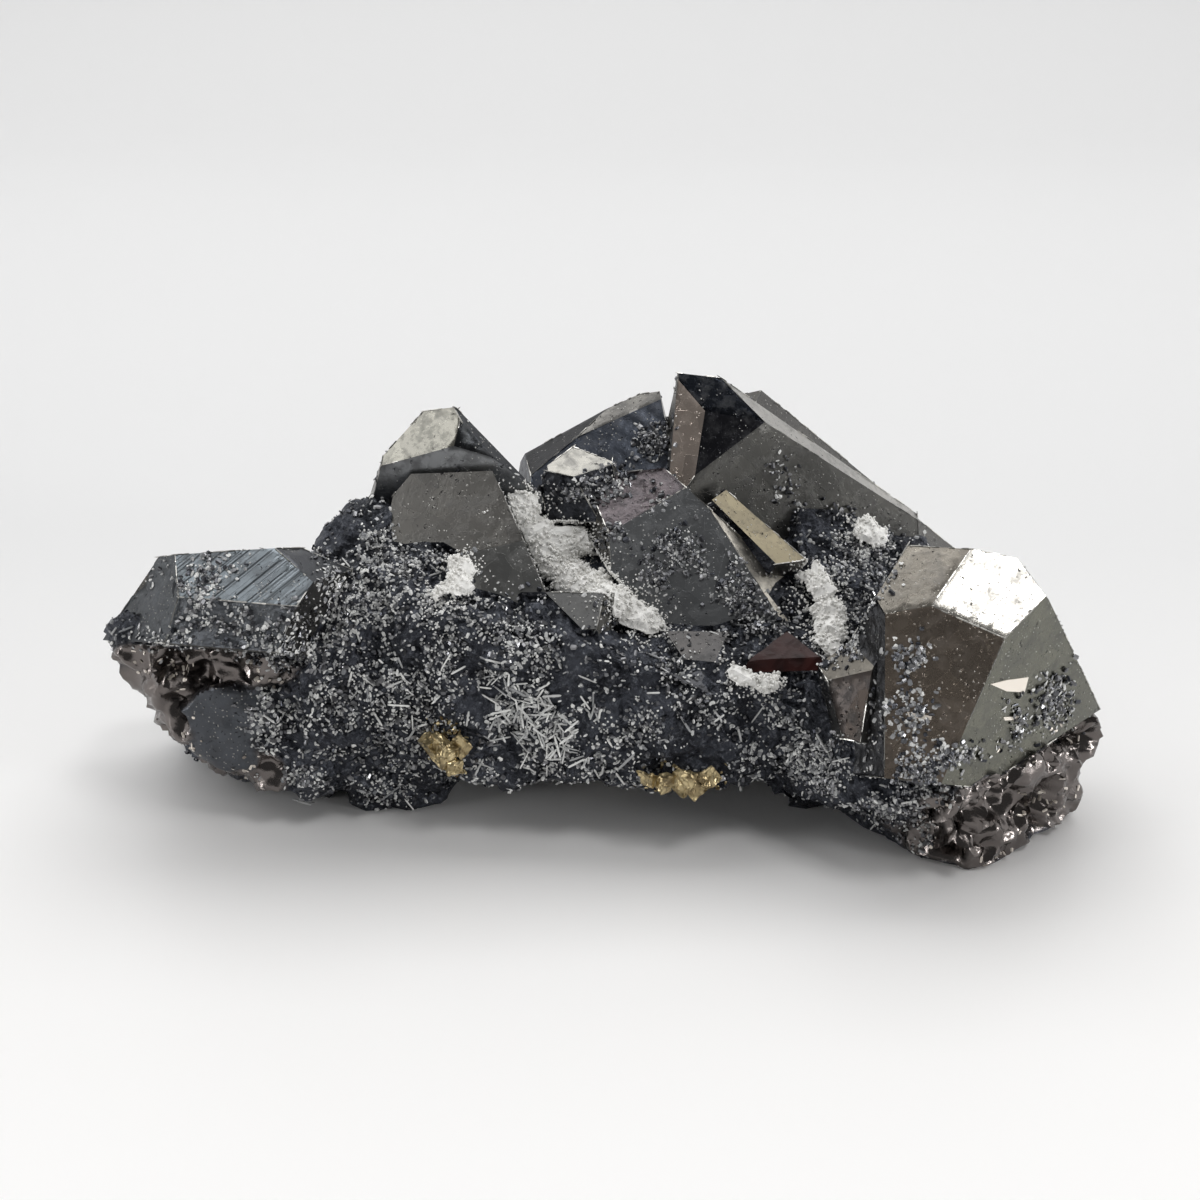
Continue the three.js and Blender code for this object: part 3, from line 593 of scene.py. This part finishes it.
def inPolygon(u, v, polygon):
    inside = np.zeros(len(u), bool)
    for (x0, y0), (x1, y1) in zip(polygon, polygon[1:] + polygon[:1]):
        crossing = (y0 > v) != (y1 > v)
        inside ^= crossing & (u < (x1 - x0) * (v - y0) / (y1 - y0 + 1e-9) + x0)
    return inside


# Places and normals on the skin behind pixels of a polygon, clumped, soft at its edge.
def spread(tree, polygon, count):
    corners = np.array(polygon)
    pixels = rng.uniform(corners.min(axis=0) - 12, corners.max(axis=0) + 12, (count * 10, 2))
    soft = pixels + rng.normal(0, 7, pixels.shape)
    flat = np.column_stack([pixels, np.zeros(len(pixels))])
    clumps = noise(flat, 34.0, 71) + 0.6 * noise(flat, 15.0, 72) > rng.uniform(-0.5, 0.5, len(pixels))
    pixels = pixels[inPolygon(soft[:, 0], soft[:, 1], polygon) & clumps][:count]
    found = [tree.ray_cast(Vector(eye), sightLine(u, v)) for u, v in pixels]
    found = [(hit[0], hit[1]) for hit in found if hit[0] is not None]
    return np.array([p for p, n in found]), np.array([n for p, n in found])


# Places and normals over the chosen triangles, by area, in drifts.
def spreadAll(co, tri, keep, count):
    n, area = faceNormals(co, tri)
    middles = co[tri].mean(axis=1)
    drifts = 0.5 + noise(middles, 2.6 * mm, 73) + 0.5 * noise(middles, 1.1 * mm, 74)
    chance = area * keep * np.clip(drifts, 0.08, 1)
    pick = rng.choice(len(tri), count, p=chance / chance.sum())
    a, b = rng.random((2, count))
    a, b = np.where(a + b > 1, 1 - a, a), np.where(a + b > 1, 1 - b, b)
    p = co[tri[pick]]
    return p[:, 0] + a[:, None] * (p[:, 1] - p[:, 0]) + b[:, None] * (p[:, 2] - p[:, 0]), n[pick]


# Tilt 0 lies flat and 1 stands on end. Fade above 1 makes most of them dark.
# Thick 0.5 is half as high as wide.
def grains(places, normals, shape, length, width, tilt, sink=0.25, fade=1.0, thick=1.0, along=None):
    count = len(places)
    sideways = np.cross(normals, rng.normal(size=(count, 3))) if along is None else along
    sideways = sideways / np.linalg.norm(sideways, axis=1)[:, None]
    lean = rng.uniform(*tilt, count)[:, None]
    axis = sideways * np.cos(lean * math.pi / 2) + normals * np.sin(lean * math.pi / 2)
    across = np.cross(axis, normals + 0.01 * rng.normal(size=(count, 3)))
    across /= np.linalg.norm(across, axis=1)[:, None]
    third = np.cross(axis, across)
    long = rng.uniform(*length, count)[:, None]
    wide = rng.uniform(*width, count)[:, None]
    rise = wide * thick * (0.5 - sink) + np.abs(np.sin(lean * math.pi / 2)) * long * 0.35
    points, tris = shape
    out = (places + normals * rise)[:, None] + (
        points[None, :, 0:1] * (across * wide)[:, None]
        + points[None, :, 1:2] * (third * wide * thick)[:, None]
        + points[None, :, 2:3] * (axis * long)[:, None]
    )
    allTris = tris[None] + (np.arange(count) * len(points))[:, None, None]
    return out.reshape(-1, 3), allTris.reshape(-1, 3), np.repeat(rng.random(count) ** fade, len(tris))


def joinGrains(name, sets, material, replaced=()):
    points, tris, shades, start = [], [], [], 0
    for p, t, shade in sets:
        points.append(p)
        tris.append(t + start)
        shades.append(shade)
        start += len(p)
    points = np.concatenate(points)
    points[:, 2] = np.maximum(points[:, 2], 0)
    piece = makeMesh(name, points, np.concatenate(tris), material)
    setAttribute(piece, "shade", np.concatenate(shades))
    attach(piece, "root")
    for node in replaced:
        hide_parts(node)
    print(name, len(piece.data.polygons), "triangles")


# Needles, rice grains, dots and flakes strewn over the rock: counts for each outline in the reference view.
kinds = dict(
    needles=dict(
        shape=needleShape, length=(0.5 * mm, 1.5 * mm), width=(0.08 * mm, 0.15 * mm),
        tilt=(0.0, 0.3), fade=0.6,
    ),
    rice=dict(
        shape=riceShape, length=(0.2 * mm, 0.42 * mm), width=(0.12 * mm, 0.2 * mm),
        tilt=(0.0, 0.8), fade=0.8,
    ),
    dots=dict(
        shape=dotShape, length=(0.1 * mm, 0.2 * mm), width=(0.08 * mm, 0.15 * mm),
        tilt=(0.0, 1.0), fade=0.7,
    ),
    flakes=dict(
        shape=flakeShape, length=(0.12 * mm, 0.42 * mm), width=(0.1 * mm, 0.28 * mm),
        tilt=(0.0, 0.25), thick=0.4, fade=1.3,
    ),
    dark=dict(
        shape=flakeShape, length=(0.15 * mm, 0.5 * mm), width=(0.12 * mm, 0.36 * mm),
        tilt=(0.0, 0.5), thick=0.5, fade=1.4,
    ),
    # Pale chips that paint highlights onto the breaks.
    paintedGlints=dict(
        shape=flakeShape, length=(0.15 * mm, 0.5 * mm), width=(0.1 * mm, 0.24 * mm),
        tilt=(0.0, 0.3), thick=0.3, fade=0.6,
    ),
)
patches = dict(
    front=dict(
        needles=50, rice=260, dots=1500, flakes=700, dark=500,
        outline=[
            (375, 600), (430, 616), (470, 613), (560, 633), (600, 655), (665, 700), (697, 692),
            (816, 703), (840, 760), (830, 798), (780, 764), (720, 774), (640, 786), (600, 783),
            (470, 774), (434, 782), (421, 808), (386, 808), (345, 798), (345, 700),
        ],
    ),
    nest=dict(
        needles=150, rice=60,
        outline=[(470, 675), (600, 690), (600, 770), (470, 765)],
    ),
    rightSlope=dict(
        needles=8, rice=50, dots=320, flakes=260, dark=240,
        outline=[(770, 700), (850, 740), (930, 800), (931, 845), (860, 818), (780, 764)],
    ),
    leftLow=dict(
        rice=40, dots=200, flakes=240, dark=200,
        outline=[(250, 650), (340, 640), (345, 790), (250, 790), (300, 740), (300, 690)],
    ),
    leftSlope=dict(
        rice=30, dots=600, flakes=560, dark=200,
        outline=[(318, 552), (372, 500), (392, 545), (470, 560), (470, 612), (375, 620), (330, 640)],
    ),
    armNose=dict(
        dots=150, flakes=150, dark=90,
        outline=[(118, 590), (150, 568), (195, 562), (250, 558), (204, 598), (190, 650), (135, 645)],
    ),
    armFront=dict(
        dots=90, flakes=120, dark=110,
        outline=[(190, 612), (300, 606), (318, 640), (290, 655), (195, 650)],
    ),
    valley=dict(
        rice=60, dots=360, flakes=300, dark=360,
        outline=[(800, 530), (900, 530), (880, 600), (850, 660), (830, 660), (835, 585)],
    ),
    rightFrontLeft=dict(
        dots=50, flakes=130, dark=120,
        outline=[(885, 650), (925, 640), (930, 700), (905, 770), (870, 740)],
    ),
    rightFrontLow=dict(
        dots=120, flakes=190, dark=170,
        outline=[(880, 745), (990, 752), (955, 805), (900, 790)],
    ),
    sideLow=dict(
        dots=110, flakes=90, dark=150,
        outline=[(1010, 700), (1080, 665), (1088, 712), (1046, 732), (990, 758)],
    ),
    recess=dict(
        dots=90, flakes=60, dark=160,
        outline=[(548, 492), (600, 476), (632, 470), (620, 500), (590, 522)],
    ),
    peakEdge=dict(
        dots=70, flakes=40, dark=130,
        outline=[(640, 402), (668, 405), (662, 460), (640, 465)],
    ),
    centerUpper=dict(
        dots=80, flakes=110, dark=300,
        outline=[(590, 546), (664, 470), (690, 485)],
    ),
    centerBand=dict(
        dots=260, rice=50, flakes=120, dark=420,
        outline=[(640, 550), (690, 520), (735, 560), (782, 632), (720, 640), (660, 600)],
    ),
    shelf=dict(
        dots=170, rice=20, flakes=90, dark=120,
        outline=[(440, 612), (520, 590), (610, 600), (665, 640), (760, 690), (690, 695), (600, 650)],
    ),
    redLow=dict(
        dots=26, dark=12,
        outline=[(776, 654), (812, 650), (815, 668), (774, 670)],
    ),
    leftHollow=dict(
        dots=70, flakes=150, dark=40,
        outline=[(232, 692), (300, 690), (300, 752), (262, 748)],
    ),
    rightBreak=dict(
        paintedGlints=60,
        outline=[
            (1074, 715), (1085, 779), (1053, 840), (1028, 869), (981, 872), (931, 847), (931, 804),
            (985, 761), (1046, 729),
        ],
    ),
    leftBreak=dict(
        paintedGlints=40,
        outline=[(132, 652), (215, 655), (295, 684), (230, 690), (185, 690), (150, 700), (136, 690)],
    ),
    leftEdge=dict(
        paintedGlints=20,
        outline=[(140, 700), (175, 700), (200, 735), (235, 770), (262, 740), (255, 785), (200, 762)],
    ),
    block=dict(
        dots=60, flakes=20, dark=60,
        outline=[(740, 425), (850, 500), (905, 540), (880, 545), (790, 520)],
    ),
)
# Counts over all the rough rock, and over the crystal faces that have no name.
allRound = dict(needles=110, rice=700, dots=2400, flakes=3200, dark=3400)
onBack = dict(dots=420, flakes=320, dark=300)
clearOfFloor = co[tri].mean(axis=1)[:, 2] > 0.7 * mm
roughTris = (reliefs[faceOf] > 0.9) & (calmFace < 0.3) & (broken[tri].mean(axis=1) < 0.4) & clearOfFloor
strewn = {kind: [] for kind in kinds}
for patch in patches.values():
    for kind, look in kinds.items():
        if kind in patch:
            strewn[kind].append(grains(*spread(skinTree, patch["outline"], patch[kind]), **look))
backTris = (faceOf >= firstPlain) & (faceOf < backRough)
for where, counts in ((roughTris, allRound), (backTris, onBack)):
    for kind, count in counts.items():
        strewn[kind].append(grains(*spreadAll(co, tri, where, count), **kinds[kind]))
joinGrains("whiteNeedles", strewn["needles"], whiteLook)
joinGrains("whiteGrains", strewn["rice"] + strewn["dots"], whiteLook)
joinGrains("paleFlakes", strewn["flakes"], whiteLook)
joinGrains("darkGrains", strewn["dark"], darkLook)

# Painted highlights on the right crystal: thin pale plates, each with its outline in the reference view.
highlightPlates = dict(
    triangle=[(990, 684), (1006, 691), (1024, 692), (1028, 677), (1006, 680)],
    dashLeft=[(907, 712), (909, 717), (931, 720), (932, 716)],
    dashRight=[(1003, 717), (1004, 720), (1018, 720), (1018, 716)],
)


def plate(outline):
    hits = [skinTree.ray_cast(Vector(eye), sightLine(u, v)) for u, v in outline]
    places = np.array([hit[0] for hit in hits])
    out = np.mean([hit[1] for hit in hits], axis=0) * 0.05 * mm
    count = len(outline)
    here = np.arange(count)
    after = np.roll(here, -1)
    fan = np.array([[0, k, k + 1] for k in range(1, count - 1)])
    rim = [np.stack(corners, axis=1) for corners in (
        (here + count, after + count, after),
        (here + count, after, here),
    )]
    tris = np.concatenate([fan, fan[:, ::-1] + count, *rim])
    return np.concatenate([places + out, places - out]), tris, np.ones(len(tris))


bright = [plate(outline) for outline in highlightPlates.values()]
# Painted highlights: pale chips on the breaks and pale plates on the right crystal.
joinGrains("paintedBreakGlints", strewn["paintedGlints"] + bright, paintedGlintLook)

# Bright nicked edges where crystal faces meet.
nicks = dict(length=(0.25 * mm, 0.9 * mm), width=(0.05 * mm, 0.1 * mm), tilt=(0.0, 0.02), sink=0.42)
nickSpacing = 0.3 * mm
runs = np.linalg.norm(edgeEnds[:, 1] - edgeEnds[:, 0], axis=1)
pick = np.repeat(np.arange(len(runs)), np.maximum(1, runs / nickSpacing).astype(int))
along = edgeEnds[pick, 1] - edgeEnds[pick, 0]
places = edgeEnds[pick, 0] + along * rng.random(len(pick))[:, None]
outs = edgeOut[pick] / np.linalg.norm(edgeOut[pick], axis=1)[:, None]
kept = noise(places, 2.0 * mm, 81) > -0.1
bright = grains(places[kept], outs[kept], flakeShape, along=along[kept], **nicks)
joinGrains("brightEdges", [bright], edgeLook)

# Quartz crust: the CAD crust roughened, with short prisms standing all over it.
# Prisms and stray grains are counted to the square mm.
crust = dict(edge=0.3 * mm, bump=0.1 * mm, prisms=16, stray=34, drift=0.6 * mm)
dust = []
prism = dict(length=(0.14 * mm, 0.32 * mm), width=(0.1 * mm, 0.22 * mm), tilt=(0.0, 1.0))
crustNodes = [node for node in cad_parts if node.startswith("quartz_")]
for node in crustNodes:
    base, faceTri = weld(node)
    base, faceTri, _ = splitLong(base, faceTri, np.zeros(len(faceTri), int), np.array([crust["edge"]]))
    lift = crust["bump"] * (noise(base, 0.5 * mm, 41) + 0.6 * noise(base, 0.25 * mm, 42))
    base = base + vertexNormals(base, faceTri) * lift[:, None]
    area = faceNormals(base, faceTri)[1].sum() * 1e6
    where = spreadAll(base, faceTri, np.ones(len(faceTri)), int(area * crust["prisms"]))
    body = (base, faceTri, np.full(len(faceTri), 0.6))
    joinGrains(node + "_grains", [body, grains(*where, prismShape, **prism)], quartzLook, [node])
    stray = spreadAll(base, faceTri, np.ones(len(faceTri)), int(area * crust["stray"]))[0]
    near = [skinTree.find_nearest(Vector(p)) for p in stray + rng.normal(0, crust["drift"], stray.shape)]
    spots, outs = (np.array([hit[k] for hit in near]) for k in (0, 1))
    dust.append(grains(spots, outs, **kinds["dots"]))
joinGrains("crustDust", dust, quartzLook)

# Brassy grains strewn round the pyrite cubes.
goldGrains = 150
goldLeft = [(432, 730), (466, 732), (466, 766), (436, 766)]
goldRight = [(640, 768), (718, 764), (720, 790), (645, 794)]
joinGrains(
    "pyriteGrains",
    [grains(*spread(skinTree, place, goldGrains), **kinds["flakes"]) for place in (goldLeft, goldRight)],
    pyriteLook,
)

# Pyrite in small blocks and the red crystal with a few steps on its faces, on their CAD shapes.
crystals = dict(
    pyrite_left=dict(look=pyriteLook, slot="pyrite", block=0.42 * mm, height=0.34 * mm),
    pyrite_right=dict(look=pyriteLook, slot="pyrite", block=0.42 * mm, height=0.34 * mm),
    sphalerite=dict(look=sphaleriteLook, slot="sphalerite", block=1.1 * mm, height=0.16 * mm),
)
crystalEdge = 0.22 * mm
for node, grown in crystals.items():
    base, faceTri = weld(node)
    base, faceTri, _ = splitLong(base, faceTri, np.zeros(len(faceTri), int), np.array([crystalEdge]))
    lift = grown["height"] * (blocky(base, grown["block"], 500) - 0.72)
    base = base + vertexNormals(base, faceTri) * lift[:, None]
    shade = 0.5 + 0.5 * noise(base[faceTri].mean(axis=1), 0.6 * mm, 51)
    joinGrains(node + "_crystals", [(base, faceTri, shade)], grown["look"], [node])

# Stage: a pale floor that sweeps up behind, its colour darker towards the back as painted light falloff, and
# a soft box of light with a dark front.
stage = dict(
    width=1.6,
    front=-0.6,
    back=0.42,
    bend=0.16,
    height=0.9,
    # The darker far colour is painted light falloff.
    near=rgb(246, 245, 244),
    far=rgb(226, 226, 226),
)


def sweep():  # a profile of floor, quarter round and wall carried along X
    turn = np.linspace(0, math.pi / 2, 24)
    bend = stage["bend"]
    y = np.concatenate([[stage["front"]], stage["back"] - bend + bend * np.sin(turn), [stage["back"]]])
    z = np.concatenate([[0], bend * (1 - np.cos(turn)), [stage["height"]]])
    left = np.stack([np.full(len(y), -stage["width"] / 2), y, z], axis=1)
    right = left * [-1, 1, 1]
    k = np.arange(len(y) - 1)
    n = len(y)
    tris = np.concatenate([np.stack([k, k + n, k + n + 1], axis=1), np.stack([k, k + n + 1, k + 1], axis=1)])
    return np.concatenate([left, right]), tris


s = Surface("floor")
# Painted light falloff: the floor colour goes from the near colour to the darker far colour behind the
# specimen.
behind = s.start.make("ShaderNodeSeparateXYZ", {0: s.place}, out="Y").ramp(-0.03, 0.05)
floorWithPaintedFalloff = s.feed(Base_Color=behind.mix(stage["near"], stage["far"]), Roughness=0.32)
floor = makeMesh("floor", *sweep(), floorWithPaintedFalloff, smooth=40)
floor.location.z = -0.00002
floor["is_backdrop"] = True

lights = dict(
    led=dict(at=(0.132, -0.122, 0.378), toward=(0, 0, 0.01), size=(0.1, 0.09), power=0.3),
    ceiling=dict(at=(0, 0.2, 0.42), toward=(0, 0.1, 0), size=(0.7, 0.3), power=1.6),
    leftCeiling=dict(at=(-0.27, -0.06, 0.37), toward=(0, 0, 0), size=(0.24, 0.22), power=0.3),
    leftWall=dict(at=(-0.38, 0.06, 0.14), toward=(0, 0, 0.02), size=(0.5, 0.26), power=0.36),
    rightStrip=dict(at=(0.3, -0.14, 0.06), toward=(0, 0, 0.01), size=(0.05, 0.05), power=0.26),
    leftStrip=dict(at=(-0.3, -0.12, 0.06), toward=(0, 0, 0.01), size=(0.045, 0.045), power=0.12),
    rightWall=dict(at=(0.38, 0.06, 0.14), toward=(0, 0, 0.02), size=(0.5, 0.26), power=0.36),
)
for name, light in lights.items():
    lamp = bpy.data.lights.new(name, "AREA")
    lamp.shape = "RECTANGLE"
    lamp.size, lamp.size_y = light["size"]
    lamp.energy = light["power"]
    holder = bpy.data.objects.new(name, lamp)
    bpy.context.collection.objects.link(holder)
    holder.location = light["at"]
    aim = Vector(light["toward"]) - Vector(light["at"])
    holder.rotation_euler = aim.to_track_quat("-Z", "Y").to_euler()
    holder.visible_camera = False
world = bpy.data.worlds.new("room")
bpy.context.scene.world = world
world.use_nodes = True
background = world.node_tree.nodes["Background"]
background.inputs["Color"].default_value = (1, 1, 1, 1)
background.inputs["Strength"].default_value = 0.12

lens = bpy.data.cameras.new("camera")
lens.sensor_width = shot["sensor"]
lens.lens = shot["sensor"] * shot["focal"] / (2 * shot["middle"])
lens.clip_start = 0.001
camera = bpy.data.objects.new("camera", lens)
bpy.context.collection.objects.link(camera)
camera.location = eye
camera.rotation_euler = (math.pi / 2 - pitch, 0, 0)
bpy.context.scene.camera = camera
bpy.context.scene.view_settings.view_transform = "Standard"

newLow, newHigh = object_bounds()
for label, box in (("CAD box, mm:", (*cadLow, *cadHigh)), ("new box, mm:", (*newLow, *newHigh))):
    print(label, [round(v * 1000, 2) for v in box])
